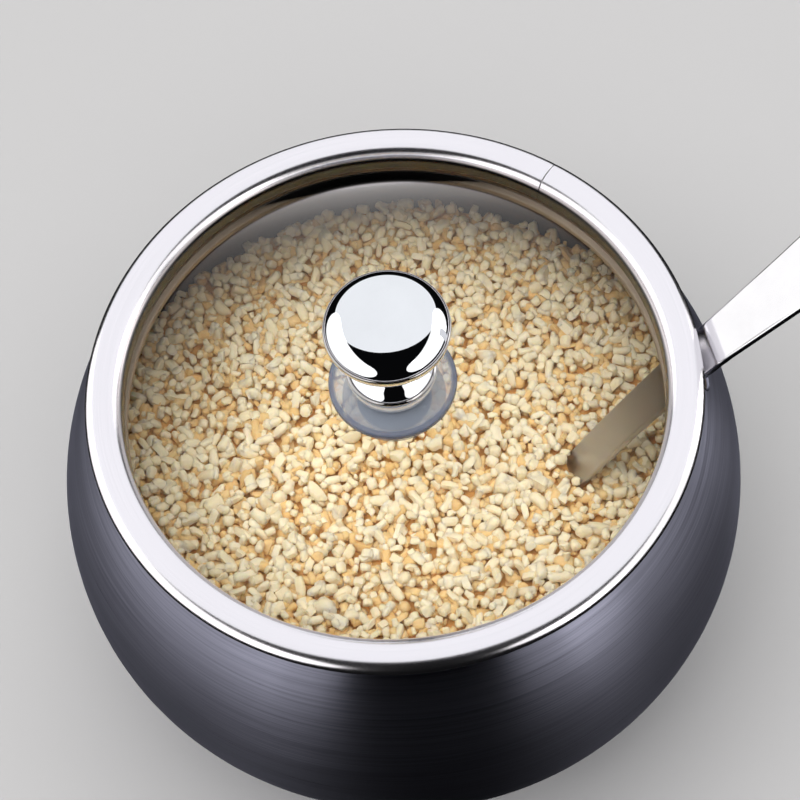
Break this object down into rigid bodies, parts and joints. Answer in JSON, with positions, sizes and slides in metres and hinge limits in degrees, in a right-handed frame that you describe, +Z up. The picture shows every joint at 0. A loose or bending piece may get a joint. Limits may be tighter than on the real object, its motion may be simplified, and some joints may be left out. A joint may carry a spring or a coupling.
{
  "type": "sugar bowl",
  "caption": "Round steel sugar bowl with a domed glass lid, a ball knob and a strip-handled spoon that leans out through a notch in the rim.",
  "frame": {"origin": "centre of the bowl's flat underside, on the bowl's axis of revolution", "axes": "+Z up along the bowl's axis, +X towards the side where the spoon's handle leans out, -Y to the front"},
  "size_m": [0.1322, 0.105, 0.1032],
  "materials": {
    "bowl_steel": "circumferentially brushed stainless steel",
    "ring_steel": "satin stainless steel, rolled band",
    "glass": "clear tempered glass, polished",
    "knob_chrome": "mirror polished chrome",
    "washer_plastic": "translucent moulded plastic, slightly frosted",
    "screw_steel": "bright zinc plated steel",
    "spoon_steel": "polished stainless steel strip"
  },
  "bodies": {
    "bowl": {"bowl_body": "bowl_steel"},
    "lid": {"lid_ring": "ring_steel", "lid_glass": "glass", "knob": "knob_chrome", "knob_washer": "washer_plastic", "under_washer": "washer_plastic", "steel_washer": "screw_steel", "knob_screw": "screw_steel"},
    "spoon": {"spoon": "spoon_steel"}
  },
  "joints": [
    {"name": "lid_lift", "type": "slide", "parent": "bowl", "child": "lid", "axis": [0, 0, 1], "range_m": [0, 0.09]},
    {"name": "spoon_slide", "type": "slide", "parent": "bowl", "child": "spoon", "axis": [0.5565, 0.0931, 0.8256], "range_m": [0, 0.032]}
  ]
}
